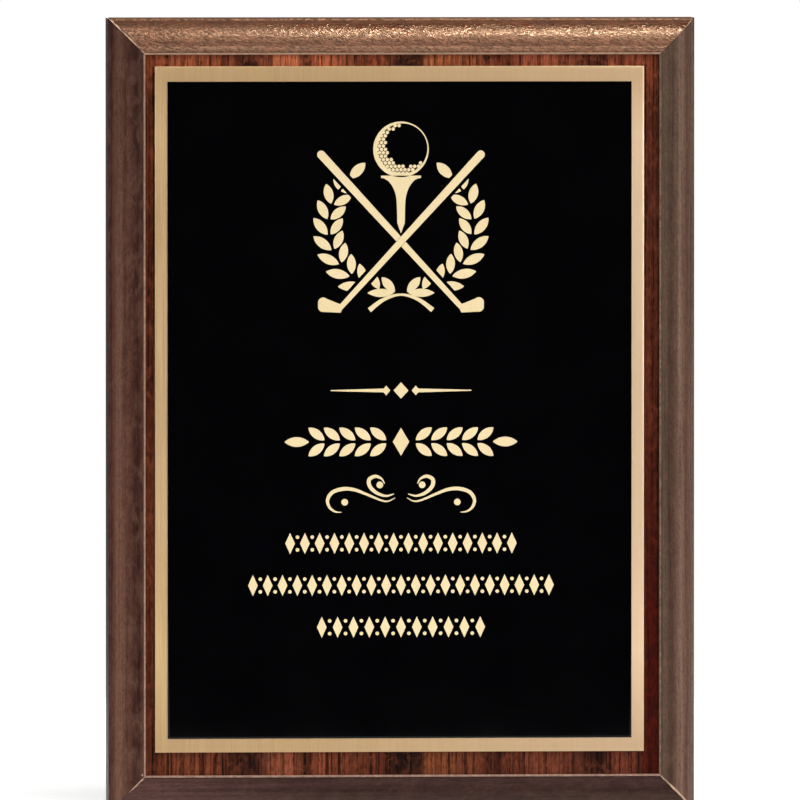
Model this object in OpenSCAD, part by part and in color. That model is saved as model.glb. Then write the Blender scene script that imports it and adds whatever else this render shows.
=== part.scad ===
// Wall plaque: a walnut-print board with mitred edge mouldings, a bonded brass plate with a
// black enamel panel and raised gold artwork, and a keyhole hanger let into the back.
// Millimetres. X is the width, Z is up, the front faces -Y, and the back face is the plane Y = 0.
// The origin is the centre of the back face, which lies against the wall.

/* [Board] */
// Overall width of the plaque
board_w = 150; // [150:1:240]
// Overall height of the plaque
board_h = 202.5; // [202.5:0.5:320]
// Depth from the wall to the front of the printed face
face_z = 15.2; // [14.4:0.2:20]
// Thickness of the printed face sheet and of the backing sheet
sheet_t = 0.5; // [0.3:0.1:0.8]

/* [Edge moulding] */
// Width of the moulding seen from the front
rail_w = 9.3; // [8.3:0.2:9.5]
// Height of the thin inner lip above the printed face
lip_rise = 0.8; // [0.4:0.1:1.2]
// Width of the bare lip that the wrap leaves showing
lip_w = 0.5; // [0.3:0.1:0.8]
// Thickness of the printed wrap on the moulding
wrap_t = 0.3; // [0.2:0.05:0.4]
// How far each wrap stops short of the mitre joint
mitre_gap = 0.2; // [0.1:0.05:0.4]
// How far the tongue of the moulding enters the core board
tongue_depth = 3; // [2:0.5:4]
// Thickness of the tongue
tongue_t = 4; // [3:0.5:5]

/* [Plate] */
// Width of the brass plate
plate_w = 125; // [110:1:125]
// Height of the brass plate
plate_h = 175; // [150:1:176]
// Thickness of the brass plate
plate_t = 0.8; // [0.5:0.1:1.2]
// How far the plate sits above the middle of the board
plate_raise = 1.5; // [0:0.1:2]
// How far the plate sits to the left of the middle of the board
plate_left = 0.8; // [0:0.1:1]
// Brass left showing at each side of the black panel
border_side = 3.2; // [2:0.1:6]
// Brass left showing above and below the black panel
border_end = 3.7; // [2:0.1:6]
// How far the panel sits below the middle of the plate
panel_drop = 0.2; // [0:0.1:0.6]
// Thickness of the black enamel panel
panel_t = 0.4; // [0.3:0.1:0.6]
// Thickness of the adhesive tape behind the plate
tape_t = 0.3; // [0.2:0.1:0.5]
// How far the gold artwork stands out of the black panel
art_t = 0.15; // [0.1:0.05:0.3]

/* [Hanger] */
// Width of the hanger plate
hanger_w = 50; // [46:1:60]
// Height of the hanger plate
hanger_h = 22; // [22:1:26]
// Thickness of the hanger plate
hanger_t = 1.6; // [1.2:0.2:2]
// Distance of the hanger's middle below the top edge of the board
hanger_down = 36; // [30:1:60]
// Radius of the round entry hole for the wall screw's head
entry_r = 4.5; // [4:0.25:5]
// Width of the slot that the wall screw's shank rides in
slot_w = 4.5; // [4:0.25:5]
// Depth of the pocket behind the hanger plate
pocket_depth = 8; // [6:0.5:9]

/* [Hidden] */

$fn = 64;
field_w = board_w - 2 * rail_w;      // printed face seen inside the lip
field_h = board_h - 2 * rail_w;
lip_z = face_z + lip_rise;           // front of the moulding
core_front = face_z - sheet_t;       // front of the core board
plate_z = face_z + tape_t;           // back of the brass plate
panel_z = plate_z + plate_t;         // back of the black panel
art_z = panel_z + panel_t;           // back of the gold artwork
panel_w = plate_w - 2 * border_side;
panel_h = plate_h - 2 * border_end;
tongue_z = 5;                        // back of the tongue
hanger_z = board_h / 2 - hanger_down;
slot_rise = 8;                       // length of the slot above the entry hole
hanger_screw_x = 17;                 // from the middle of the hanger to each screw
screw_r = 1.5;
screw_head_r = 2.8;
screw_head_h = 1.2;
screw_len = 9;
nail_leg = 4;                        // length of each leg of a corner nail
nail_t = 0.6;
nail_depth = 8;

// Everything is drawn lying on its back, with Z towards the viewer, and stood up here.
module stand() rotate([90, 0, 0]) children();

// ---- Edge moulding ---------------------------------------------------------------------------
// The section is drawn with X running outwards from the inner face and Y towards the front.
bead_end = 2.0;                      // outer side of the narrow bead beside the lip
bead_dip = 0.35;                     // how far the bead lies below the lip
quirk_drop = 0.25;                   // depth of the soft groove outside the bead
crown_start = 2.5;
crown_r = 7;                         // radius of the round crown
crown_end = rail_w - 0.6;            // where the crown meets the outer arris
arris_r = 0.6;

bead_z = lip_z - bead_dip;
crown_z = bead_z - 0.1;
function crown_height(u) = crown_z - crown_r + sqrt(crown_r * crown_r - pow(u - crown_start, 2));
arris_z = crown_height(crown_end);

// Front outline of the moulding from the lip outwards.
function bead_point(a) = [
    lip_w + (bead_end - lip_w) * (1 - cos(a)) / 2,
    bead_z - 0.2 + 0.2 * sin(a)
];
front_line = concat(
    [[lip_w, bead_z - 0.2]],
    [for (a = [30 : 30 : 150]) bead_point(a)],
    [[bead_end, bead_z - quirk_drop]],
    [for (i = [0 : 10]) let (u = crown_start + (crown_end - crown_start) * i / 10) [u, crown_height(u)]],
    [for (a = [60 : -20 : 0]) [rail_w - arris_r + arris_r * cos(a), arris_z - arris_r + arris_r * sin(a)]]
);
wrap_inner = [for (p = front_line) [min(p[0], rail_w - wrap_t), p[1] - wrap_t]];

// Section of the bare moulding, with the lip, the tongue and a rebate for the two sheets.
module rail_core_section() {
    polygon(concat(
        [[0, lip_z - 0.1], [0.1, lip_z], [lip_w - 0.1, lip_z], [lip_w, lip_z - 0.1]],
        [[lip_w, bead_z - 0.2 - wrap_t]],
        [for (i = [1 : len(wrap_inner) - 1]) wrap_inner[i]],
        [[rail_w - wrap_t, 0], [0, 0]],
        [[0, tongue_z], [-tongue_depth, tongue_z]],
        [[-tongue_depth, tongue_z + tongue_t], [0, tongue_z + tongue_t]]
    ));
}

// Section of the printed wrap, from the lip over the crown and down the outer side.
module rail_wrap_section() {
    polygon(concat(
        front_line,
        [[rail_w, 0], [rail_w - wrap_t, 0]],
        [for (i = [len(wrap_inner) - 1 : -1 : 0]) wrap_inner[i]]
    ));
}

// A length of moulding for a side `span` long, at the top edge of a field `rise` high.
// Its ends are mitred, and each end stops `back` short of the joint.
module top_rail(span, rise, back) {
    reach = span / 2;
    outer = reach - back;
    inset = rail_w + tongue_depth;
    intersection() {
        translate([-reach, rise / 2 - rail_w, 0]) rotate([90, 0, 90])
            linear_extrude(span) children();
        translate([0, 0, -1]) linear_extrude(lip_z + 2) polygon([
            [-outer, rise / 2], [outer, rise / 2],
            [outer - inset, rise / 2 - inset], [-outer + inset, rise / 2 - inset]
        ]);
    }
}

module nail_slots() {
    for (sx = [-1, 1], sy = [-1, 1])
        mirror([sx < 0 ? 1 : 0, 0, 0]) mirror([0, sy < 0 ? 1 : 0, 0]) corner_nail();
}

// The V nail of the top right corner, driven in from the back. Each leg runs along one moulding.
module corner_nail() {
    mid = rail_w / 2;
    translate([board_w / 2 - mid, board_h / 2 - mid, 0]) linear_extrude(nail_depth) union() {
        translate([-nail_leg, -nail_t / 2]) square([nail_leg + nail_t / 2, nail_t]);
        translate([-nail_t / 2, -nail_leg]) square([nail_t, nail_leg + nail_t / 2]);
    }
}

module rail_core(span, rise, turn) color("tan") stand() difference() {
    rotate([0, 0, turn]) top_rail(span, rise, 0) rail_core_section();
    nail_slots();
}
module rail_wrap(span, rise, turn, tone) color(tone) stand()
    rotate([0, 0, turn]) top_rail(span, rise, mitre_gap) rail_wrap_section();

module rail_core_top() rail_core(board_w, board_h, 0);
module rail_core_bottom() rail_core(board_w, board_h, 180);
module rail_core_left() rail_core(board_h, board_w, 90);
module rail_core_right() rail_core(board_h, board_w, -90);
module rail_wrap_top() rail_wrap(board_w, board_h, 0, "sienna");
module rail_wrap_bottom() rail_wrap(board_w, board_h, 180, "#46302b");
module rail_wrap_left() rail_wrap(board_h, board_w, 90, "#5f453a");
module rail_wrap_right() rail_wrap(board_h, board_w, -90, "#6a5145");
module corner_v_nails() color("silver") stand() nail_slots();

// ---- Board ---------------------------------------------------------------------------------
module slab(w, h, t) translate([-w / 2, -h / 2, 0]) cube([w, h, t]);

// Outline of the recess for the hanger plate, which has round ends.
module hanger_outline() union() {
    square([hanger_w - hanger_h, hanger_h], center = true);
    for (s = [-1, 1]) translate([s * (hanger_w - hanger_h) / 2, 0]) circle(hanger_h / 2);
}

// Pocket that clears the wall screw's head below and along the slot.
module pocket_outline() union() {
    translate([0, slot_rise / 2]) square([2 * entry_r + 2, slot_rise], center = true);
    for (y = [0, slot_rise]) translate([0, y]) circle(entry_r + 1);
}

module hanger_place() translate([0, hanger_z - slot_rise / 2, 0]) children();

module core_board() color("burlywood") stand() difference() {
    union() {
        translate([0, 0, sheet_t]) slab(field_w, field_h, tongue_z - sheet_t);
        translate([0, 0, tongue_z]) slab(field_w - 2 * tongue_depth, field_h - 2 * tongue_depth, tongue_t);
        translate([0, 0, tongue_z + tongue_t]) slab(field_w, field_h, core_front - tongue_z - tongue_t);
    }
    translate([0, hanger_z, -1]) linear_extrude(1 + hanger_t) hanger_outline();
    hanger_place() linear_extrude(hanger_t + pocket_depth) pocket_outline();
    at_hanger_screws() cylinder(r = screw_r, h = screw_len);
}

module face_sheet() color("saddlebrown") stand()
    translate([0, 0, core_front]) slab(field_w, field_h, sheet_t);

module backing_sheet() color("#3a2d25") stand() difference() {
    slab(field_w, field_h, sheet_t);
    translate([0, hanger_z, -1]) linear_extrude(2 + sheet_t) hanger_outline();
}

// ---- Hanger --------------------------------------------------------------------------------
module hanger_plate() color("silver") stand() difference() {
    translate([0, hanger_z, 0]) linear_extrude(hanger_t) hanger_outline();
    hanger_place() translate([0, 0, -1]) {
        cylinder(r = entry_r, h = hanger_t + 2);
        translate([-slot_w / 2, 0, 0]) cube([slot_w, slot_rise, hanger_t + 2]);
        translate([0, slot_rise, 0]) cylinder(r = slot_w / 2, h = hanger_t + 2);
    }
    at_hanger_screws() screw_shape();
}

module at_hanger_screws() for (s = [-1, 1]) translate([s * hanger_screw_x, hanger_z, 0]) children();

// A countersunk screw standing on its head.
module screw_shape() union() {
    cylinder(r1 = screw_head_r, r2 = screw_r, h = screw_head_h);
    cylinder(r = screw_r, h = screw_len);
}

// The screws have a cross recess for the driver.
recess_len = 2.8;
recess_w = 0.5;
recess_depth = 0.6;
module hanger_screws() color("gray") stand() at_hanger_screws() difference() {
    screw_shape();
    for (turn = [0, 90]) rotate([0, 0, turn])
        translate([-recess_len / 2, -recess_w / 2, -1]) cube([recess_len, recess_w, 1 + recess_depth]);
}

// ---- Plate ---------------------------------------------------------------------------------
tape_w = 12;
tape_inset = 8;                      // from the plate's side to the tape

module at_plate(z) translate([-plate_left, plate_raise, z]) children();

module plate_tape() color("ghostwhite") stand() at_plate(face_z) for (s = [-1, 1])
    translate([s * (plate_w / 2 - tape_inset - tape_w / 2), 0, 0])
        slab(tape_w, plate_h - 2 * tape_inset, tape_t);

module brass_plate() color("#ccaa7a") stand() at_plate(plate_z) slab(plate_w, plate_h, plate_t);

module black_panel() color("#101010") stand()
    at_plate(panel_z) translate([0, -panel_drop, 0]) slab(panel_w, panel_h, panel_t);

// ---- Artwork -------------------------------------------------------------------------------
// Heights are measured from a level art_down below the middle of the plate.
shaft_w = 1.3;                       // width of each golf club's shaft
club_lean = 42.6;                    // lean of each shaft from upright
club_up = 30.1;                      // from the crossing to the middle of a grip's round end
club_down = 22.6;                    // from the crossing to the heel of a head
grip_r = 1.05;
cross_y = 44.1;                      // height at which the two shafts cross
art_right = 0.3;                     // from the middle of the plate to the middle of the artwork
art_down = 1.3;
shaft_gap = 0.9;                     // black left on each side of a shaft
ball_y = 67.6;
ball_r = 7.1;
ball_shade = [1.6, 1];               // middle of the ball's black lit side
ball_shade_r = 5.4;
dimple_r = 0.44;
dimple_pitch = 1;
tee_top = 60.9;
tee_tip = 46.2;
tee_half_w = 5.1;
tee_stem_half_w = 1.05;
tee_flare_h = 7;
tee_rim_t = 0.6;
wreath_y = 48;
wreath_rx = 18.5;
wreath_ry = 17.3;

module art() color("#f5dea8") stand()
    translate([art_right - plate_left, plate_raise - art_down, art_z]) linear_extrude(art_t) children();

// A straight bar whose width changes from w0 to w1.
module bar(from, to, w0, w1) {
    run = to - from;
    translate(from) rotate(atan2(run[1], run[0]))
        polygon([[0, -w0 / 2], [norm(run), -w1 / 2], [norm(run), w1 / 2], [0, w0 / 2]]);
}

// One club leaning to the right, with its grip at the top right and its head at the lower left.
heel = -club_down * [sin(club_lean), cos(club_lean)];
module club() {
    grip_end = club_up * [sin(club_lean), cos(club_lean)];
    bar(heel, grip_end, shaft_w, 2 * grip_r);
    translate(grip_end) circle(grip_r);
    translate(heel) club_head();
}

// The head is an iron's blade: a straight sole, a round toe and a top line that falls to the heel.
toe_r = 1.3;
blade_len = 4.6;
module club_head() union() {
    circle(shaft_w / 2);
    polygon([[0.6, 0.2], [-0.3, 0.7], [-blade_len, 2.4], [-blade_len - toe_r, 1.1],
             [-blade_len - toe_r, 0], [-blade_len, -1.3], [-0.1, -1.5]]);
    translate([-blade_len, 1.1]) circle(toe_r);
    translate([-blade_len, 0]) circle(toe_r);
}

module at_crossing() translate([0, cross_y]) children();

// The strip kept clear of artwork along the shaft that leans to the right.
module shaft_clearance() bar(1.15 * heel, -1.15 * club_up / club_down * heel,
    shaft_w + 2 * shaft_gap, 2 * (grip_r + shaft_gap));

module gold_club_right() art() at_crossing() club();
module gold_club_left() art() at_crossing() difference() {
    mirror([1, 0]) club();
    bar(1.15 * heel, -1.15 * heel, shaft_w + 0.5, shaft_w + 0.5);
}

// The ball is a thin ring, thicker on its shaded side, with rows of dimples inside the shade.
module gold_ball() art() translate([0, ball_y]) {
    difference() {
        circle(ball_r);
        translate([0.35, 0.22]) circle(ball_r - 0.7);
    }
    for (row = [-8 : 8], col = [-7 : 7]) {
        x = (col + (row % 2 == 0 ? 0 : 0.5)) * dimple_pitch;
        y = row * dimple_pitch * sin(60);
        if (norm([x, y]) < ball_r - 0.75 && norm([x, y] - ball_shade) > ball_shade_r)
            translate([x, y]) circle(dimple_r, $fn = 24);
    }
}

// The tee has a rim, a curved flare, a stem that tapers a little and a point.
module gold_tee() art() polygon(concat(
    [[-tee_half_w, tee_top], [tee_half_w, tee_top]],
    [for (a = [90 : -10 : 0]) [
        tee_half_w - (tee_half_w - tee_stem_half_w) * cos(a),
        tee_top - tee_rim_t - tee_flare_h * (1 - sin(a))
    ]],
    [[tee_stem_half_w - 0.1, tee_tip + 2.6], [0, tee_tip], [0.1 - tee_stem_half_w, tee_tip + 2.6]],
    [for (a = [0 : 10 : 90]) [
        (tee_half_w - tee_stem_half_w) * cos(a) - tee_half_w,
        tee_top - tee_rim_t - tee_flare_h * (1 - sin(a))
    ]]
));

// A pointed leaf with two arc sides, growing along +X from the origin.
module leaf(length, width) {
    r = (length * length + width * width) / (4 * width);
    translate([length / 2, 0]) intersection() {
        translate([0, r - width / 2]) circle(r);
        translate([0, width / 2 - r]) circle(r);
    }
}

// One branch of the wreath, on the right: pairs of leaves up an arc from the bottom middle.
laurel_pairs = 10;
laurel_step = 13;
leaf_offset = 0.4;                   // from the middle of the branch to the foot of a leaf
function branch_point(a) = [wreath_rx * sin(a), -wreath_ry * cos(a)];
module laurel_branch() difference() {
    translate([0, wreath_y]) {
        for (i = [0 : laurel_pairs - 1]) {
            a = 5 + i * laurel_step;
            translate(branch_point(a)) rotate(a) {
                if (i > 1) translate([0, -leaf_offset]) rotate(-33) leaf(6.8 - 0.2 * i, 2.4);
                translate([0, leaf_offset]) rotate(44) leaf(5.1, 2.25);
            }
        }
        last = 5 + laurel_pairs * laurel_step;
        translate(branch_point(last)) rotate(last) leaf(5.6, 2.6);
        translate([1.8, 0.3 - wreath_ry]) leaf(6.8, 2.1);
    }
    at_crossing() {
        shaft_clearance();
        mirror([1, 0]) shaft_clearance();
    }
}

// A smooth curve through the points of p: t runs from 0 to the number of points less one.
function curve_point(p, t) = let (
    i = min(floor(t), len(p) - 2), f = t - i,
    a = p[max(i - 1, 0)], b = p[i], c = p[i + 1], d = p[min(i + 2, len(p) - 1)]
) (2 * b + (c - a) * f + (2 * a - 5 * b + 4 * c - d) * f * f + (3 * b - a - 3 * c + d) * f * f * f) / 2;

// A stroke along a curve, with its width at the start, at the middle and at the end.
module stroke(p, start_w, middle_w, end_w) {
    steps = 36;
    span = len(p) - 1;
    line = [for (i = [0 : steps]) curve_point(p, span * i / steps)];
    side = [for (i = [0 : steps]) let (
        t = i / steps,
        run = line[min(i + 1, steps)] - line[max(i - 1, 0)],
        width = start_w + (end_w - start_w) * t + (middle_w - (start_w + end_w) / 2) * sin(180 * t)
    ) [-run[1], run[0]] / norm(run) * width / 2];
    polygon(concat(
        [for (i = [0 : steps]) line[i] + side[i]],
        [for (i = [steps : -1 : 0]) line[i] - side[i]]
    ));
}

// The cut stalk of a branch, which passes the other branch's stalk at the bottom middle.
stalk = [[-1.6, 30.5], [1.4, 30.4], [4.8, 29.1], [8.1, 26.6]];
module laurel_stalk() stroke(stalk, 0.4, 0.8, 1.3);

module gold_laurel_right() art() {
    laurel_branch();
    laurel_stalk();
}
module gold_laurel_left() art() mirror([1, 0]) {
    laurel_branch();
    difference() {
        laurel_stalk();
        mirror([1, 0]) laurel_stalk();
    }
}

// A pair of flourishes: each has a small upper curl and a long lower curl, with a dot in each.
scroll_y = -20.3;
scroll_dot_r = 0.85;
upper_curl = [
    [1.8, 0], [3.9, -0.5], [6.3, 0.3], [8, 2], [8.1, 3.7], [6.6, 4.5], [5, 3.9], [4.2, 2.6]
];
lower_curl = [
    [1.5, -1], [4.1, -1.9], [9, 0], [12, 1.1], [14.9, 1.3],
    [17.6, 0.4], [18.8, -1.6], [18.2, -3.5], [16.8, -4.5], [15.2, -4.7]
];
module gold_scrolls() art() translate([0, scroll_y]) for (s = [0, 1]) mirror([s, 0]) {
    stroke(upper_curl, 0.2, 1, 0.15);
    stroke(lower_curl, 0.15, 0.95, 0.15);
    translate([5.4, 2.3]) circle(scroll_dot_r);
    translate([14.4, -2.1]) circle(scroll_dot_r);
}

// Ornament in the places where a plaque carries its wording.
module lozenge(w, h) polygon([[-w / 2, 0], [0, -h / 2], [w / 2, 0], [0, h / 2]]);

// A row of upright lozenges with a dot between each two, `width` long over all.
module lozenge_row(width, height) {
    lozenge_w = 0.46 * height;
    count = floor((width - lozenge_w) / (1.36 * lozenge_w + 0.4));
    pitch = (width - lozenge_w) / count;
    for (i = [0 : count]) translate([i * pitch - count * pitch / 2, 0]) lozenge(lozenge_w, height);
    for (i = [1 : count], s = [-1, 1])
        translate([(i - 0.5) * pitch - count * pitch / 2, s * 0.3 * height]) circle(0.085 * height);
}

// A lozenge between two rules that taper to nothing, each starting from a small lozenge.
module tapered_rule(width, height) {
    lozenge(0.9 * height, height);
    for (s = [-1, 1]) {
        bar([s * 0.9 * height, 0], [s * width / 2, 0], 0.24 * height, 0.06 * height);
        translate([s * 0.9 * height, 0]) lozenge(0.5 * height, 0.6 * height);
    }
}

// A garland of paired leaves that grow outwards from a lozenge in its middle.
module garland(width, height) {
    leaf_l = 0.62 * height;
    leaf_w = 0.27 * height;
    lean = 38;
    start = 0.45 * height;
    tip = 0.75 * height;
    count = round((width / 2 - start - tip) / (0.45 * height));
    pitch = (width / 2 - start - tip) / count;
    lozenge(0.5 * height, height * 0.85);
    for (s = [0, 1]) mirror([s, 0]) {
        for (i = [0 : count - 1], side = [-1, 1])
            translate([start + i * pitch, side * 0.05 * height]) rotate(side * lean) leaf(leaf_l, leaf_w);
        translate([start + count * pitch, 0]) leaf(tip, leaf_w * 1.1);
    }
}

rule_y = 6.1;
rule_size = [36, 4.2];
garland_y = -7;
garland_size = [59.6, 8.4];
row_h = 5.4;
rows = [[-32.9, 59.2], [-43.6, 78.2], [-54.3, 43]]; // height and width of each row
module gold_dedication_rule() art() translate([0, rule_y]) tapered_rule(rule_size[0], rule_size[1]);
module gold_name_garland() art() translate([0, garland_y]) garland(garland_size[0], garland_size[1]);
module gold_citation_rows() art() for (row = rows) translate([0, row[0]]) lozenge_row(row[1], row_h);

// ---- Assembly ------------------------------------------------------------------------------
core_board();
face_sheet();
backing_sheet();
rail_core_top();
rail_core_bottom();
rail_core_left();
rail_core_right();
rail_wrap_top();
rail_wrap_bottom();
rail_wrap_left();
rail_wrap_right();
corner_v_nails();
plate_tape();
brass_plate();
black_panel();
gold_ball();
gold_tee();
gold_club_left();
gold_club_right();
gold_laurel_left();
gold_laurel_right();
gold_scrolls();
gold_dedication_rule();
gold_name_garland();
gold_citation_rows();
hanger_plate();
hanger_screws();
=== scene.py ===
"""The looks of the wall plaque: its wraps, plates and materials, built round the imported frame.

Everything is in metres. X is the width, Z is up, the front faces -Y and the back lies on Y = 0.
Sizes named in millimetres are multiplied by MM where they meet a mesh or a shader.
"""

import bpy
import math
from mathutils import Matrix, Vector, noise


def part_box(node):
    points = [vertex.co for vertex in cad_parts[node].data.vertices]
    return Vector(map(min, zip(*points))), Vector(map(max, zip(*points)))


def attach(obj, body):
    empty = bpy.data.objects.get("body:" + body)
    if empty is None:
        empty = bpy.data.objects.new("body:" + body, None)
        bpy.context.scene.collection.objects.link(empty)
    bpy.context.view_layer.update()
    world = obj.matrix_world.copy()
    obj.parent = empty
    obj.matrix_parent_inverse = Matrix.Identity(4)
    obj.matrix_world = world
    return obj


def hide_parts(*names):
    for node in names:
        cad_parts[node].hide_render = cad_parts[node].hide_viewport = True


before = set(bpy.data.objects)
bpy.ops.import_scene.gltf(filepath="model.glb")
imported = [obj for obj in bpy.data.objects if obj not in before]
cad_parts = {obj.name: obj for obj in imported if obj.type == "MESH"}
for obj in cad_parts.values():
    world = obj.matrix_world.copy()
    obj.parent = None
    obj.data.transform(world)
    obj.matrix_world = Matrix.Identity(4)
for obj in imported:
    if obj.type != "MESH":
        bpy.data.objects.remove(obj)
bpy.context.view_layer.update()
scene = bpy.context.scene
MM = 0.001


# ---- Small helpers ---------------------------------------------------------------------------
def tone(red, green, blue):
    """A colour given as 0-255 sRGB, as the linear RGBA that shaders use."""
    linear = []
    for value in (red, green, blue):
        v = value / 255
        linear.append(v / 12.92 if v <= 0.04045 else ((v + 0.055) / 1.055) ** 2.4)
    return (*linear, 1)


def wave(x, seed):
    """Smooth noise between about -1 and 1 along one line."""
    return noise.noise(Vector((x, seed * 7.31, seed * 3.17)))


class Surface:
    """One material, with short calls for the nodes that the materials share."""

    def __init__(self, name, **constants):
        self.material = bpy.data.materials.new(name)
        self.material.use_nodes = True
        self.tree = self.material.node_tree
        self.shader = self.tree.nodes["Principled BSDF"]
        for socket, value in constants.items():
            self.shader.inputs[socket.replace("_", " ")].default_value = value

    def node(self, kind, settings=(), **inputs):
        """A new node. Underscores in the names of its inputs stand for spaces."""
        made = self.tree.nodes.new(kind)
        for key, value in dict(settings).items():
            setattr(made, key, value)
        for key, value in inputs.items():
            self.feed(made.inputs[key.replace("_", " ")], value)
        return made

    def feed(self, socket, value):
        """Links a socket to another, or gives it a constant."""
        if isinstance(value, bpy.types.NodeSocket):
            self.tree.links.new(value, socket)
        else:
            socket.default_value = value

    def place(self):
        """The point on the object, in metres."""
        return self.node("ShaderNodeTexCoord").outputs["Object"]

    def girth(self):
        """The wrap's own coordinates: along the length, and across the face, in metres."""
        return self.node("ShaderNodeUVMap", {"uv_map": "girth"}).outputs["UV"]

    def stretch(self, vector, scale, shift=(0, 0, 0), turn=0):
        """The point scaled and moved, after a turn about Z in degrees."""
        if turn:
            vector = self.node("ShaderNodeMapping", Vector=vector,
                               Rotation=(0, 0, math.radians(turn))).outputs[0]
        return self.node("ShaderNodeMapping", Vector=vector, Scale=scale, Location=shift).outputs[0]

    def split(self, vector):
        """The three numbers of a vector."""
        return self.node("ShaderNodeSeparateXYZ", Vector=vector).outputs

    def noise(self, vector, detail=4.0, rough=0.5, bend=0.0):
        """Noise from about 0 to 1 at a point that is already scaled."""
        made = self.node("ShaderNodeTexNoise", Vector=vector, Scale=1.0, Detail=detail,
                         Roughness=rough, Distortion=bend)
        return made.outputs["Fac"]

    def cells(self, vector):
        """The distance to the middle of the nearest of scattered cells."""
        return self.node("ShaderNodeTexVoronoi", Vector=vector, Scale=1.0).outputs["Distance"]

    def math(self, job, a, b):
        """One sum, such as ADD or MULTIPLY, of two numbers."""
        made = self.node("ShaderNodeMath", {"operation": job})
        self.feed(made.inputs[0], a)
        self.feed(made.inputs[1], b)
        return made.outputs[0]

    def ramp(self, value, stops):
        """A colour band: each stop is its place from 0 to 1 and its sRGB colour."""
        made = self.node("ShaderNodeValToRGB", Fac=value)
        band = made.color_ramp
        for index, (where, colour) in enumerate(stops):
            if index < 2:
                stop = band.elements[index]
                stop.position = where
            else:
                stop = band.elements.new(where)
            stop.color = tone(*colour)
        return made.outputs["Color"]

    def level(self, value, low, high, out_low=0.0, out_high=1.0):
        """The value, moved from the range low-high to the range out_low-out_high and held inside it."""
        made = self.node("ShaderNodeMapRange", Value=value)
        made.inputs["From Min"].default_value = low
        made.inputs["From Max"].default_value = high
        made.inputs["To Min"].default_value = out_low
        made.inputs["To Max"].default_value = out_high
        return made.outputs[0]

    def mix(self, share, a, b, mode="MIX"):
        """`share` of colour b laid over colour a. Each is a socket or a 0-255 sRGB colour."""
        made = self.node("ShaderNodeMix", {"data_type": "RGBA", "blend_type": mode})
        self.feed(made.inputs[0], share)
        for index, colour in ((6, a), (7, b)):
            self.feed(made.inputs[index], tone(*colour) if isinstance(colour, tuple) else colour)
        return made.outputs[2]

    def bump(self, height, depth, strength=1.0, under=None):
        """A bump `depth` metres deep, on top of the bump `under`."""
        made = self.node("ShaderNodeBump", Height=height, Strength=strength, Distance=depth)
        if under is not None:
            self.feed(made.inputs["Normal"], under)
        return made.outputs[0]

    def set(self, **sockets):
        """Feeds the shader's own sockets and gives back the finished material."""
        for key, value in sockets.items():
            self.feed(self.shader.inputs[key.replace("_", " ")], value)
        return self.material


# ---- Sizes, taken from the frame ---------------------------------------------------------------
# half_w and half_h: half the board. lip_front: the front of the bare lip. rail_w: width of a rail.
half_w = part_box("rail_wrap_right")[1][0]
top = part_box("rail_wrap_top")[1][2]
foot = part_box("rail_wrap_bottom")[0][2]
half_h = (top - foot) / 2
lip_front = -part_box("rail_core_top")[0][1]
rail_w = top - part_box("face_sheet")[1][2]

# ---- Walnut wraps ------------------------------------------------------------------------------
WRAP_T = 0.3 * MM                  # thickness of the wrap
BEAD_H = lip_front - 0.35 * MM     # front of the narrow bead beside the lip
# The bead and the soft valley outside it, in millimetres: distance out from the face, and drop.
BEAD = [(0.5, 0.2), (0.53, 0.11), (0.6, 0.05), (0.72, 0.015), (0.9, 0), (1.2, 0), (1.5, 0.005),
        (1.7, 0.025), (1.85, 0.06), (2.0, 0.1), (2.15, 0.13), (2.3, 0.13), (2.42, 0.112)]
CROWN_START = 2.5 * MM             # distance out from the face
CROWN_R = 7 * MM                   # radius of the round crown
CROWN_H = BEAD_H - 0.1 * MM        # front of the crown, at its start
CROWN_STEPS = 28
ARRIS_R = 0.6 * MM                 # radius of the outer edge
ARRIS_LEAN = 64                    # degrees round the outer edge at which the crown meets it
ARRIS_STEPS = 7
SIDE_STEPS = 8
LENGTH_STEPS = 48
SHARP_ANGLE = 0.6                  # in radians: edges that turn by more than this stay sharp


def crown_height(u):
    """Height of the crown at a distance out from the face."""
    return CROWN_H - CROWN_R + math.sqrt(CROWN_R ** 2 - (u - CROWN_START) ** 2)


def front_line():
    """Points of the wrap's face from the lip to the back: distance out from the face, and height."""
    line = []
    for u, drop in BEAD:
        line.append((u * MM, BEAD_H - drop * MM))
    crown_end = rail_w - ARRIS_R
    for i in range(CROWN_STEPS + 1):
        u = CROWN_START + (crown_end - CROWN_START) * i / CROWN_STEPS
        line.append((u, crown_height(u)))
    arris_h = crown_height(crown_end) - ARRIS_R
    for i in range(1, ARRIS_STEPS + 1):
        a = math.radians(ARRIS_LEAN * (1 - i / ARRIS_STEPS))
        line.append((rail_w - ARRIS_R + ARRIS_R * math.cos(a), arris_h + ARRIS_R * math.sin(a)))
    for i in range(1, SIDE_STEPS + 1):
        line.append((rail_w, arris_h * (1 - i / SIDE_STEPS)))
    return line


def inner_line(line):
    """The wrap's glued side: each point moved in by the wrap's thickness."""
    return [(min(u, rail_w - WRAP_T), max(h - WRAP_T, 0) if h > 0 else 0) for u, h in line]


def make_mesh(name, points, faces, replaces, material):
    """A piece of the object, with its material, riding on the body and standing for CAD nodes."""
    mesh = bpy.data.meshes.new(name)
    mesh.from_pydata(points, [], faces)
    mesh.validate()
    mesh.polygons.foreach_set("use_smooth", [True] * len(mesh.polygons))
    mesh.set_sharp_from_angle(angle=SHARP_ANGLE)
    mesh.materials.append(material)
    piece = bpy.data.objects.new(name, mesh)
    scene.collection.objects.link(piece)
    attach(piece, "root")
    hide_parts(*replaces)
    return piece


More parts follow.
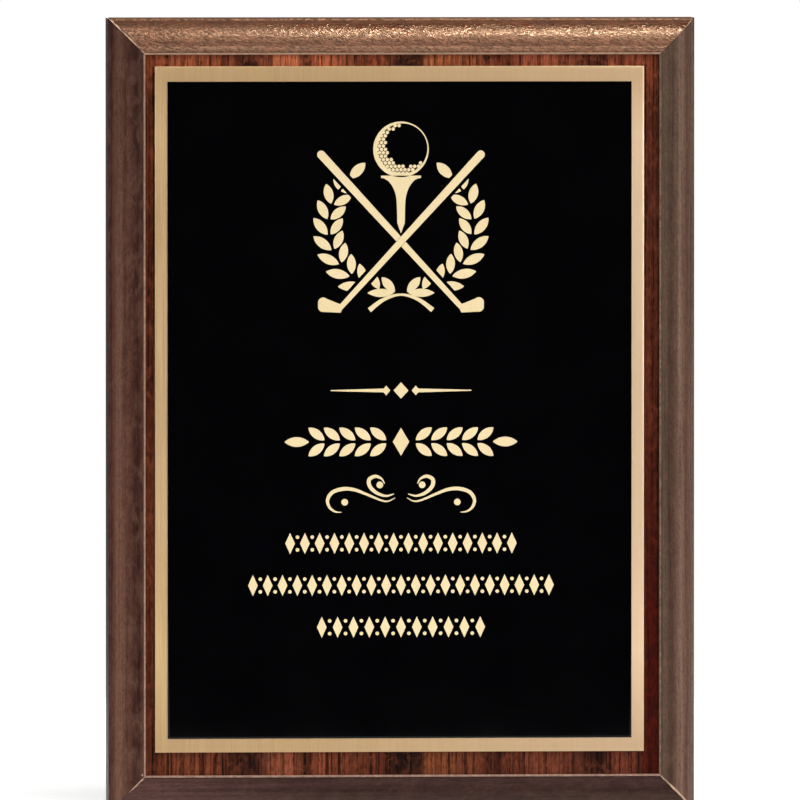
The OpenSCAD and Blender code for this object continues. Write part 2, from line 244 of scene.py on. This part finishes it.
def make_wrap(name, along, outward, half_run, half_rise, ends, material):
    """One length of wrap. `ends` gives, for its two ends, how far each point stops short of the mitre."""
    face = front_line()
    inner = inner_line(face)
    count = len(face)
    points = []
    for side in (face, inner):
        for u, h in side:
            stop = [half_run - (rail_w - u) - short(max(0.0, (rail_w - u) / rail_w)) for short in ends]
            for i in range(LENGTH_STEPS + 1):
                share = i / LENGTH_STEPS
                s = -stop[0] * (1 - share) + stop[1] * share
                points.append(along * s + outward * (half_rise - rail_w + u) + Vector((0, -h, 0)))
    row = LENGTH_STEPS + 1

    def at(side, k, i):
        return (side * count + k) * row + i

    faces = []
    end = LENGTH_STEPS
    for k in range(count - 1):
        for i in range(end):
            faces.append((at(0, k, i), at(0, k, i + 1), at(0, k + 1, i + 1), at(0, k + 1, i)))
            faces.append((at(1, k, i), at(1, k + 1, i), at(1, k + 1, i + 1), at(1, k, i + 1)))
        faces.append((at(0, k, 0), at(0, k + 1, 0), at(1, k + 1, 0), at(1, k, 0)))
        faces.append((at(0, k, end), at(1, k, end), at(1, k + 1, end), at(0, k + 1, end)))
    last = count - 1
    for i in range(end):
        faces.append((at(0, 0, i), at(1, 0, i), at(1, 0, i + 1), at(0, 0, i + 1)))
        faces.append((at(0, last, i), at(0, last, i + 1), at(1, last, i + 1), at(1, last, i)))
    if along.cross(outward).y > 0:      # a mirrored length, whose faces would look inward
        faces = [corners[::-1] for corners in faces]
    piece = make_mesh(name, points, faces, [name.replace("veneer", "rail_wrap")], material)
    travel = [0.0]                      # girth at each point of the face, from the edge at the lip
    for (u0, h0), (u1, h1) in zip(face, face[1:]):
        travel.append(travel[-1] + math.hypot(u1 - u0, h1 - h0))
    layer = piece.data.uv_layers.new(name="girth")
    for loop in piece.data.loops:
        spot = piece.data.vertices[loop.vertex_index].co
        k = (loop.vertex_index // row) % count
        layer.data[loop.index].uv = (spot.dot(along), travel[k])
    return piece


def ragged(base, rough, seed, shape=lambda t: 1.0):
    """The gap at a mitre, as a rule of t, which is 0 at the outer edge and 1 at the face.

    base: the gap in millimetres.  rough: how far it wanders.  shape: its scale along the mitre.
    """
    def stop(t):
        wander = rough * (wave(t * 9, seed) + 0.5 * wave(t * 23, seed + 0.5))
        return MM * max(0.02, (base + wander) * shape(t))
    return stop


def near_lip(t):
    """The scale of a gap that opens only near the lip."""
    return 1 / (1 + math.exp(-14 * (t - 0.62)))


def near_edge(t):
    """The scale of a gap that is widest at the outer edge."""
    return 1 - 0.8 / (1 + math.exp(-14 * (t - 0.5)))


def mid_mitre(t):
    """The scale of a gap that is widest half way along the mitre."""
    return 0.5 + math.sin(math.pi * t)


STRIPE_SPAN = 12                                # millimetres of girth that the stripes cover
CREST_RISE = (3.3 * MM, 5 * MM)                 # girth over which the glossy crest comes in
CREST_FALL = (9 * MM, 7.6 * MM)                 # girth over which it goes out, from the far side
CREST_ALONG = (-0.062, -0.01)                   # part of the length over which it gains its full gloss


def walnut_wrap(name, stripes_and_shade, seed, dust_and_shade, shine, peel_depth, painted_pit_shade, matte, sheen, fade):
    """Printed walnut on the moulding: bands along the length, fine pores and an orange-peel lacquer, with
    painted light and shade in the colours across the face.

    dust_and_shade: a colour that mottles the print, and its share; its tone on each side carries painted
    light and shade.
    shine: roughness on the peaks and in the pits of the peel.
    peel_depth: in millimetres.  stain: how dark the painted shade in the pits of the peel is.
    matte: roughness added away from the glossy crest.
    sheen: specular level and tint.
    fade: where a tint starts and is full along the length, the tint and its share.
    """
    s = Surface(name, IOR=1.5, Specular_IOR_Level=sheen[0], Specular_Tint=tone(*sheen[1]))
    girth = s.girth()
    parts = s.split(girth)
    drift = s.noise(s.stretch(girth, (14, 60, 1), (seed, seed, 0)), detail=3, rough=0.6)
    across = s.math("ADD", s.math("MULTIPLY", parts[1], 1 / (STRIPE_SPAN * MM)),
                    s.math("MULTIPLY", s.math("SUBTRACT", drift, 0.5), 0.14))
    colour = s.ramp(across, [(mm / STRIPE_SPAN, shade) for mm, shade in stripes_and_shade])
    start, stop, tint, share = fade
    colour = s.mix(s.level(parts[0], start, stop, 0.0, share), colour, tint)

    streaks = s.noise(s.stretch(girth, (22, 1300, 1), (seed * 2, 0, 0)), detail=6, rough=0.6, bend=0.6)
    colour = s.mix(0.85, colour, s.ramp(streaks, [
        (0.28, (150, 138, 132)), (0.5, (224, 221, 219)), (0.72, (255, 253, 250))]), "MULTIPLY")
    fibres = s.noise(s.stretch(girth, (260, 4200, 1), (0, seed, 0)), detail=4, rough=0.7)
    colour = s.mix(0.55, colour, s.ramp(fibres, [
        (0.32, (176, 166, 160)), (0.5, (238, 236, 234)), (0.66, (255, 255, 255))]), "MULTIPLY")
    mottle = s.noise(s.stretch(girth, (190, 420, 1), (seed, 3, 0)), detail=5, rough=0.65, bend=0.8)
    colour = s.mix(s.level(mottle, 0.42, 0.72, 0.0, dust_and_shade[1]), colour, dust_and_shade[0])
    specks = s.level(s.cells(s.stretch(girth, (240, 330, 1), (seed, 1, 0))), 0.05, 0.09, 0.6, 0.0)
    rare = s.level(s.noise(s.stretch(girth, (60, 90, 1), (seed, 8, 0)), detail=1), 0.62, 0.66)
    colour = s.mix(s.math("MULTIPLY", specks, rare), colour, (206, 190, 172))

    peel = s.noise(s.stretch(girth, (850, 2100, 1), (seed, 0, 0), turn=16), detail=1.5, rough=0.5, bend=1.2)
    # Painted shade: the pits of the peel are darkened.
    colour = s.mix(painted_pit_shade, colour, s.ramp(peel, [
        (0.38, (120, 104, 96)), (0.5, (222, 216, 212)), (0.6, (255, 255, 255))]), "MULTIPLY")
    wrinkle = s.noise(s.stretch(girth, (420, 700, 1), (0, seed, 0)), detail=2, rough=0.5, bend=1.0)
    normal = s.bump(peel, peel_depth * MM, 1.0, s.bump(wrinkle, peel_depth * 0.8 * MM))
    crest = s.math("MULTIPLY", s.level(parts[1], *CREST_RISE), s.level(parts[1], *CREST_FALL))
    crest = s.math("MULTIPLY", crest, s.level(parts[0], *CREST_ALONG, 0.15, 1.0))
    rough = s.math("ADD", s.level(peel, 0.56, 0.44, *shine), s.level(crest, 1.0, 0.0, 0.0, matte))
    return s.set(Base_Color=colour, Roughness=rough, Normal=normal)


# Each wrap's print with painted light and shade: millimetres of girth from the lip, and the colour there.
# The top's table is the lit one, the bottom's the shaded one and the sides lie between; the lighter bands
# on the bead and crown are painted highlights, and the dark bands are painted shade.
TOP_STRIPES_AND_SHADE = [
    (0.0, (120, 83, 65)), (0.7, (137, 98, 77)), (1.6, (135, 91, 71)), (2.4, (111, 62, 43)),
    (3.2, (111, 62, 43)), (4.2, (120, 70, 50)), (5.4, (126, 74, 54)), (6.6, (118, 66, 46)),
    (7.8, (98, 52, 35)), (8.9, (98, 54, 37)), (10.0, (120, 80, 61)), (11.5, (111, 68, 50)),
]
LEFT_STRIPES_AND_SHADE = [
    (0.0, (89, 59, 47)), (0.8, (69, 39, 32)), (1.6, (49, 21, 15)), (2.6, (60, 29, 22)),
    (3.6, (84, 50, 40)), (4.8, (95, 62, 51)), (6.2, (122, 86, 72)), (7.4, (124, 87, 72)),
    (8.6, (109, 65, 51)), (9.6, (84, 50, 40)), (10.8, (62, 39, 32)), (11.6, (53, 35, 30)),
]
RIGHT_STRIPES_AND_SHADE = [
    (0.0, (88, 72, 60)), (0.8, (90, 73, 62)), (1.6, (82, 62, 52)), (2.5, (72, 51, 42)),
    (3.2, (72, 47, 37)), (4.0, (98, 74, 62)), (5.0, (128, 101, 87)), (6.0, (122, 92, 80)),
    (7.0, (104, 74, 63)), (8.2, (114, 88, 74)), (9.6, (118, 96, 82)), (11.2, (94, 70, 59)),
]
BOTTOM_STRIPES_AND_SHADE = [
    (0.0, (68, 43, 36)), (0.8, (59, 38, 36)), (1.8, (61, 38, 37)), (2.8, (53, 32, 28)),
    (3.8, (49, 29, 25)), (4.8, (61, 43, 39)), (6.0, (68, 50, 44)), (7.2, (64, 44, 38)),
    (8.4, (59, 41, 35)), (9.6, (55, 37, 33)), (10.8, (51, 34, 30)), (11.6, (47, 31, 27)),
]

X = Vector((1, 0, 0))
Z = Vector((0, 0, 1))
WARM = (255, 226, 196)             # tints of the lacquer's shine
PLAIN = (255, 240, 226)
# Painted light and shade: the top's dust colour is the lightest and the bottom's the darkest. The top's
# fade is painted light, lighter towards the right end.
wrap_top = walnut_wrap(
    "walnut_top", TOP_STRIPES_AND_SHADE, seed=1.7, dust_and_shade=((150, 88, 60), 0.45),
    shine=(0.1, 0.4), peel_depth=0.15, painted_pit_shade=0.8, matte=0.35,
    sheen=(0.85, WARM), fade=(-0.05, 0.03, (150, 92, 64), 0.15))
wrap_left = walnut_wrap(
    "walnut_left", LEFT_STRIPES_AND_SHADE, seed=4.1, dust_and_shade=((112, 82, 70), 0.42),
    shine=(0.36, 0.5), peel_depth=0.03, painted_pit_shade=0.35, matte=0,
    sheen=(0.12, PLAIN), fade=(0.02, 0.1, (58, 34, 30), 0.35))
wrap_right = walnut_wrap(
    "walnut_right", RIGHT_STRIPES_AND_SHADE, seed=7.9, dust_and_shade=((110, 84, 68), 0.28),
    shine=(0.34, 0.48), peel_depth=0.03, painted_pit_shade=0.35, matte=0,
    sheen=(0.15, PLAIN), fade=(0.0, 0.1, (96, 84, 70), 0.25))
wrap_bottom = walnut_wrap(
    "walnut_bottom", BOTTOM_STRIPES_AND_SHADE, seed=11.3, dust_and_shade=((88, 62, 56), 0.30),
    shine=(0.36, 0.5), peel_depth=0.03, painted_pit_shade=0.35, matte=0,
    sheen=(0.12, PLAIN), fade=(-0.02, -0.06, (96, 66, 64), 0.7))
make_wrap("veneer_top", X, Z, half_w, half_h,
          (ragged(0.5, 0.5, 1), ragged(0.30, 0.3, 2, near_edge)), wrap_top)
make_wrap("veneer_bottom", X, -Z, half_w, half_h,
          (ragged(0.42, 0.25, 3, near_lip), ragged(0.26, 0.2, 4)), wrap_bottom)
make_wrap("veneer_left", Z, -X, half_h, half_w,
          (ragged(0.16, 0.06, 5, near_lip), ragged(0.05, 0.02, 6)), wrap_left)
make_wrap("veneer_right", Z, X, half_h, half_w,
          (ragged(0.34, 0.08, 7, mid_mitre), ragged(0.06, 0.03, 8)), wrap_right)


# ---- Printed face ------------------------------------------------------------------------------
TOP_LIGHT_BAND = (0.08, 0.088)           # heights of painted light: below them the face is darker, above them the strip under the top rail is paler
RIGHT_BAND = (0.059, 0.063)        # the strip right of the plate
LOW_BAND = (0.03, -0.05)           # heights over which that strip turns redder, downwards


def walnut_face():
    """Vertical walnut print: broad bands across the width, fine dark lines and short pores, with painted
    light that leaves the strip under the top rail paler than the face below it.
    """
    s = Surface("walnut_field", IOR=1.45, Specular_IOR_Level=0.06)
    place = s.place()
    wander = s.noise(s.stretch(place, (30, 1, 9)), detail=3, rough=0.6)
    x, _, z = s.split(place)
    across = s.math("ADD", s.level(x, -half_w, half_w),
                    s.math("MULTIPLY", s.math("SUBTRACT", wander, 0.5), 0.02))
    colour = s.ramp(across, [
        (0.06, (92, 40, 18)), (0.10, (136, 76, 50)), (0.17, (140, 76, 50)), (0.225, (52, 24, 14)),
        (0.25, (60, 28, 18)), (0.285, (164, 96, 68)), (0.32, (170, 98, 70)), (0.335, (44, 18, 10)),
        (0.355, (170, 94, 66)), (0.42, (112, 60, 38)), (0.46, (120, 60, 38)), (0.49, (44, 22, 14)),
        (0.53, (56, 30, 18)), (0.545, (150, 88, 56)), (0.61, (132, 74, 48)), (0.665, (80, 36, 22)),
        (0.71, (140, 76, 54)), (0.77, (122, 66, 48)), (0.835, (46, 16, 8)),
        (0.87, (128, 68, 50)), (0.94, (92, 42, 24)),
    ])
    lines = s.noise(s.stretch(place, (1100, 1, 14), (0.3, 0, 0)), detail=7, rough=0.68, bend=0.25)
    colour = s.mix(1.0, colour, s.ramp(lines, [
        (0.36, (52, 34, 28)), (0.44, (160, 142, 132)), (0.52, (242, 236, 232)), (0.6, (255, 252, 248))]),
        "MULTIPLY")
    pores = s.noise(s.stretch(place, (3200, 1, 500), (0, 0, 0.7)), detail=3, rough=0.75)
    colour = s.mix(1.0, colour, s.ramp(pores, [
        (0.34, (82, 58, 48)), (0.46, (222, 214, 210)), (0.60, (255, 255, 255))]), "MULTIPLY")
    figure = s.noise(s.stretch(place, (500, 1, 260), (0.9, 0, 0)), detail=4, rough=0.6, bend=1.0)
    colour = s.mix(s.level(figure, 0.48, 0.74, 0.0, 0.3), colour, (172, 92, 62))
    # Painted light: the face is darker below the top band and paler in the strip under the top rail.
    colour = s.mix(s.level(z, *TOP_LIGHT_BAND, 0.42, 0.0), colour, (108, 92, 82), "MULTIPLY")
    colour = s.mix(s.level(z, *TOP_LIGHT_BAND, 0.0, 1.0), colour, (128, 132, 122), "DODGE")
    low_right = s.math("MULTIPLY", s.level(x, *RIGHT_BAND), s.level(z, *LOW_BAND))
    colour = s.mix(low_right, colour, (194, 98, 0), "MULTIPLY")
    return s.set(Base_Color=colour, Roughness=s.level(lines, 0.3, 0.7, 0.5, 0.38),
                 Normal=s.bump(pores, 0.02 * MM, 0.6))


def paint(node, material):
    """Gives a carried CAD node its material."""
    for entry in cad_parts[node].material_slots:
        entry.material = material


paint("face_sheet", walnut_face())


# ---- Bare moulding -----------------------------------------------------------------------------
def bare_fibre(name, light, dark, lip):
    """Pale fibreboard, raw where the mitres are open, and in the `lip` colour at its front: a pale edge
    with painted light and shade that differs from side to side.
    """
    s = Surface(name, IOR=1.45, Specular_IOR_Level=0.2)
    place = s.place()
    fibres = s.noise(s.stretch(place, (900, 1600, 900)), detail=5, rough=0.7, bend=0.6)
    clumps = s.noise(s.stretch(place, (160, 160, 160)), detail=3, rough=0.6)
    colour = s.mix(s.level(fibres, 0.35, 0.68), dark, light)
    colour = s.mix(s.level(clumps, 0.4, 0.7, 0.0, 0.35), colour, dark)
    # Painted light and shade: the front of the lip takes the lip colour, whose brightness differs by side.
    lip_tone_and_shade = s.level(s.split(place)[1], 0.3 * MM - lip_front, 0.15 * MM - lip_front)
    colour = s.mix(s.math("MULTIPLY", lip_tone_and_shade, s.level(fibres, 0.3, 0.7, 1.0, 0.75)), colour, lip)
    return s.set(Base_Color=colour, Roughness=s.level(fibres, 0.3, 0.7, 0.75, 0.55),
                 Normal=s.bump(fibres, 0.03 * MM, 0.5))


# The lip colours are painted light and shade: the top, left and bottom lips are lighter, and the right lip
# is in shade.
paint("rail_core_top", bare_fibre("fibre_top", (240, 204, 172), (196, 156, 128), (128, 101, 83)))
paint("rail_core_bottom", bare_fibre("fibre_bottom", (240, 206, 180), (196, 160, 136), (112, 86, 75)))
paint("rail_core_left", bare_fibre("fibre_left", (232, 196, 164), (186, 148, 120), (119, 93, 79)))
paint("rail_core_right", bare_fibre("fibre_right", (226, 192, 162), (180, 146, 118), (70, 52, 42)))
paint("core_board", bare_fibre("fibre_board", (176, 140, 100), (128, 96, 64), (150, 118, 84)))


# ---- Brass and black ---------------------------------------------------------------------------
EDGE_R = 0.02 * MM                 # radius of the rounded front edges
EDGE_STEPS = 4
FLAT_INSET = 25 * EDGE_R           # a ring in the flat front that keeps its shading flat


def plate_mesh(name, node, material):
    """A flat sheet the size of a CAD node, with its front edges rounded over."""
    a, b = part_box(node)
    front = a[1]
    back = b[1]
    rings = [(FLAT_INSET, front)]
    for i in range(EDGE_STEPS + 1):
        turn = math.radians(90 * i / EDGE_STEPS)
        rings.append((EDGE_R * (1 - math.sin(turn)), front + EDGE_R * (1 - math.cos(turn))))
    rings.append((0, back))
    points = []
    faces = []
    for inset, depth in rings:
        points += [(a[0] + inset, depth, a[2] + inset), (b[0] - inset, depth, a[2] + inset),
                   (b[0] - inset, depth, b[2] - inset), (a[0] + inset, depth, b[2] - inset)]
    for r in range(len(rings) - 1):
        for c in range(4):
            d = (c + 1) % 4
            faces.append((r * 4 + c, (r + 1) * 4 + c, (r + 1) * 4 + d, r * 4 + d))
    faces.append((0, 1, 2, 3))
    last = 4 * (len(rings) - 1)
    faces.append((last + 3, last + 2, last + 1, last))
    return make_mesh(name, points, faces, [node], material)


def brushed_brass():
    """Satin brass with fine brush lines that run up the plate, and painted light and shade: lighter to the
    right, darker at the bottom and along the top.
    """
    s = Surface("brushed_brass", Metallic=1.0, Anisotropic=0.2)
    place = s.place()
    fine = s.noise(s.stretch(place, (5200, 1, 30)), detail=5, rough=0.75)
    wide = s.noise(s.stretch(place, (1300, 1, 8), (0.2, 0, 0)), detail=4, rough=0.6)
    cloud = s.noise(s.stretch(place, (26, 1, 26)), detail=3, rough=0.6)
    colour = s.ramp(fine, [(0.3, (202, 168, 124)), (0.5, (218, 184, 138)), (0.7, (234, 204, 160))])
    colour = s.mix(0.3, colour, s.ramp(wide, [(0.35, (232, 228, 224)), (0.6, (255, 255, 255))]), "MULTIPLY")
    colour = s.mix(s.level(cloud, 0.4, 0.65, 0.0, 0.3), colour, (210, 172, 116))
    x, _, z = s.split(place)
    # Painted light and shade: lighter towards the right, darker towards the bottom and along the top edge.
    colour = s.mix(s.level(x, -0.04, 0.062, 0.0, 0.6), colour, (240, 212, 182))
    colour = s.mix(s.level(z, -0.085, -0.06, 0.6, 0.0), colour, (150, 122, 88))
    colour = s.mix(s.level(z, 0.072, 0.086, 0.0, 0.6), colour, (184, 152, 110))
    return s.set(Base_Color=colour, Roughness=s.level(fine, 0.3, 0.7, 0.34, 0.42),
                 Normal=s.bump(fine, 0.006 * MM, 0.5))


def black_enamel():
    """Smooth black enamel with a faint orange peel."""
    s = Surface("black_enamel", Specular_IOR_Level=0.15)
    place = s.place()
    cloud = s.noise(s.stretch(place, (60, 60, 60)), detail=3, rough=0.6)
    peel = s.noise(s.stretch(place, (900, 900, 900)), detail=2, rough=0.5)
    colour = s.mix(cloud, (0, 0, 1), (3, 3, 4))
    return s.set(Base_Color=colour, Roughness=s.level(cloud, 0.3, 0.7, 0.05, 0.08),
                 Normal=s.bump(peel, 0.001 * MM, 0.4))


def pale_gold():
    """Pale gold print with a fine tooth."""
    s = Surface("pale_gold", Metallic=0.25)
    place = s.place()
    tooth = s.noise(s.stretch(place, (2600, 2600, 2600)), detail=3, rough=0.6)
    cloud = s.noise(s.stretch(place, (120, 120, 90)), detail=3, rough=0.6)
    colour = s.mix(s.level(cloud, 0.35, 0.65), (217, 197, 153), (221, 202, 161))
    colour = s.mix(s.level(tooth, 0.35, 0.7, 0.0, 0.2), colour, (184, 166, 120))
    return s.set(Base_Color=colour, Roughness=s.level(tooth, 0.3, 0.7, 0.45, 0.6),
                 Normal=s.bump(tooth, 0.01 * MM, 0.5))


plate_mesh("brass_sheet", "brass_plate", brushed_brass())
plate_mesh("enamel_sheet", "black_panel", black_enamel())
gold = pale_gold()
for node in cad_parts:
    if node.startswith("gold_"):
        paint(node, gold)


# ---- Back ----------------------------------------------------------------------------------
def kraft_paper():
    """Dark brown backing paper with fibres and darker clouds."""
    s = Surface("kraft_paper", IOR=1.4)
    place = s.place()
    fibres = s.noise(s.stretch(place, (700, 1, 2400)), detail=5, rough=0.7, bend=1.0)
    cloud = s.noise(s.stretch(place, (40, 40, 40)), detail=4, rough=0.6)
    colour = s.mix(s.level(fibres, 0.35, 0.65), (52, 40, 33), (78, 62, 51))
    colour = s.mix(s.level(cloud, 0.4, 0.7, 0.0, 0.4), colour, (44, 34, 29))
    return s.set(Base_Color=colour, Roughness=s.level(cloud, 0.3, 0.7, 0.8, 0.65),
                 Normal=s.bump(fibres, 0.03 * MM, 0.6))


def plated_steel(name, light, dark, seed):
    """Zinc-plated steel: small spangle, rolling lines and a dull bloom."""
    s = Surface(name, Metallic=1.0)
    place = s.place()
    rolled = s.noise(s.stretch(place, (60, 900, 4200), (seed, 0, 0)), detail=3, rough=0.6)
    spangle = s.cells(s.stretch(place, (420, 420, 420), (seed, 0, 0)))
    colour = s.mix(s.level(spangle, 0.1, 0.8), light, dark)
    colour = s.mix(s.level(rolled, 0.4, 0.7, 0.0, 0.4), colour, dark)
    return s.set(Base_Color=colour, Roughness=s.level(spangle, 0.1, 0.8, 0.28, 0.46),
                 Normal=s.bump(rolled, 0.01 * MM, 0.5))


def foam_tape():
    """White foam with open pores."""
    s = Surface("foam_tape", IOR=1.45)
    place = s.place()
    pores = s.cells(s.stretch(place, (1400, 1400, 1400)))
    return s.set(Base_Color=s.mix(s.level(pores, 0.1, 0.7), (206, 204, 196), (236, 235, 230)),
                 Roughness=s.level(pores, 0.1, 0.7, 0.9, 0.7), Normal=s.bump(pores, 0.03 * MM, 0.5))


paint("backing_sheet", kraft_paper())
paint("hanger_plate", plated_steel("zinc_hanger", (206, 208, 206), (158, 162, 164), 0.0))
paint("hanger_screws", plated_steel("zinc_screws", (214, 206, 176), (166, 158, 128), 0.4))
paint("corner_v_nails", plated_steel("nail_steel", (176, 176, 174), (120, 120, 118), 0.8))
paint("plate_tape", foam_tape())


# ---- Floor, light and camera -------------------------------------------------------------------
def pale_floor():
    """Near-white floor that glows a little, which keeps the plaque's shadow on it pale."""
    s = Surface("pale_floor", Emission_Color=(1, 1, 1, 1), Emission_Strength=0.45)
    place = s.place()
    cloud = s.noise(s.stretch(place, (3, 3, 3)), detail=2)
    return s.set(Base_Color=s.mix(cloud, (246, 246, 245), (252, 252, 251)), Roughness=0.8)


FLOOR_R = 0.45
FLOOR_Y = 0.12                     # the round floor's middle, behind the plaque
FLOOR_H = foot - 0.1 * MM
FLOOR_SIDES = 96
floor_mesh = bpy.data.meshes.new("floor")
rim = []
for i in range(FLOOR_SIDES):
    angle = math.tau * i / FLOOR_SIDES
    rim.append((FLOOR_R * math.cos(angle), FLOOR_Y + FLOOR_R * math.sin(angle), FLOOR_H))
floor_mesh.from_pydata(rim, [], [tuple(range(FLOOR_SIDES))])
floor_mesh.materials.append(pale_floor())
floor = bpy.data.objects.new("floor", floor_mesh)
scene.collection.objects.link(floor)


def direction(turn, rise):
    """The way from the plaque to a place `turn` degrees right of its front and `rise` degrees up."""
    a = math.radians(turn)
    e = math.radians(rise)
    return Vector((math.sin(a) * math.cos(e), -math.cos(a) * math.cos(e), math.sin(e)))


def softbox(name, turn, rise, reach, width, height, watts,
            shift=(0, 0, 0), colour=(1, 1, 1), mirrored=True, lights=True):
    """An area light at `turn` degrees right of the front and `rise` degrees up, aimed at the plaque.

    Lengths are in metres and `shift` moves it without turning it. `mirrored` says whether
    highlights show it, and `lights` whether it lights the colours under them.
    """
    light = bpy.data.lights.new(name, "AREA")
    light.shape = "RECTANGLE"
    light.size = width
    light.size_y = height
    light.energy = watts
    light.color = colour
    lamp = bpy.data.objects.new(name, light)
    toward = direction(turn, rise)
    lamp.location = toward * reach + Vector(shift)
    lamp.rotation_euler = toward.to_track_quat("Z", "Y").to_euler()
    lamp.visible_glossy = mirrored
    lamp.visible_diffuse = lights
    scene.collection.objects.link(lamp)


softbox("key_top", 8, 54, 2.0, 1.2, 1.1, 36, mirrored=False)
softbox("front_right", 24, 12, 2.0, 0.4, 0.7, 9.5)
softbox("front_left", -18, 12, 2.0, 0.4, 0.7, 6)
softbox("side_right", 58, 0, 1.8, 0.5, 1.0, 5)
softbox("side_left", -78, 0, 1.8, 0.5, 1.0, 2.5)
softbox("back_right", 138, 25, 2.0, 0.8, 0.8, 12)
softbox("back_left", -140, 15, 2.0, 0.8, 0.8, 8)
softbox("glint", 0, 56, 0.8, 0.36, 0.07, 8.2, shift=(0.17, 0, 0),
        colour=tone(255, 240, 222)[:3], lights=False)

SKY_LIGHT = 0.05                   # strength of the white world as a light
SKY_SEEN = 1.0                     # its strength behind the plaque
world = bpy.data.worlds.new("studio")
scene.world = world
world.use_nodes = True
sky = world.node_tree
ground = sky.nodes["Background"]
ground.inputs["Color"].default_value = (1, 1, 1, 1)
ray = sky.nodes.new("ShaderNodeLightPath")
strength = sky.nodes.new("ShaderNodeMapRange")
strength.inputs["To Min"].default_value = SKY_LIGHT
strength.inputs["To Max"].default_value = SKY_SEEN
sky.links.new(ray.outputs["Is Camera Ray"], strength.inputs["Value"])
sky.links.new(strength.outputs[0], ground.inputs["Strength"])

scene.view_settings.view_transform = "Standard"
scene.view_settings.look = "None"

VIEW_W = 0.20408                   # width of the view at the plaque
CAMERA_REACH = 5.0
CAMERA_TURN = -3.98                # degrees
CAMERA_RISE = 2
AIM_RIGHT = 0.00041                # the view's middle, right of and above the plaque's
AIM_UP = 0.00327
SENSOR_W = 36                      # in the lens's own millimetres
lens = bpy.data.cameras.new("camera")
lens.sensor_width = SENSOR_W
lens.lens = SENSOR_W * CAMERA_REACH / VIEW_W
lens.clip_end = 100
camera = bpy.data.objects.new("camera", lens)
back = direction(CAMERA_TURN, CAMERA_RISE)
turned = back.to_track_quat("Z", "Y")
aim = turned @ Vector((AIM_RIGHT, AIM_UP, 0))
camera.location = aim + back * (CAMERA_REACH + lip_front)
camera.rotation_euler = turned.to_euler()
scene.collection.objects.link(camera)
scene.camera = camera
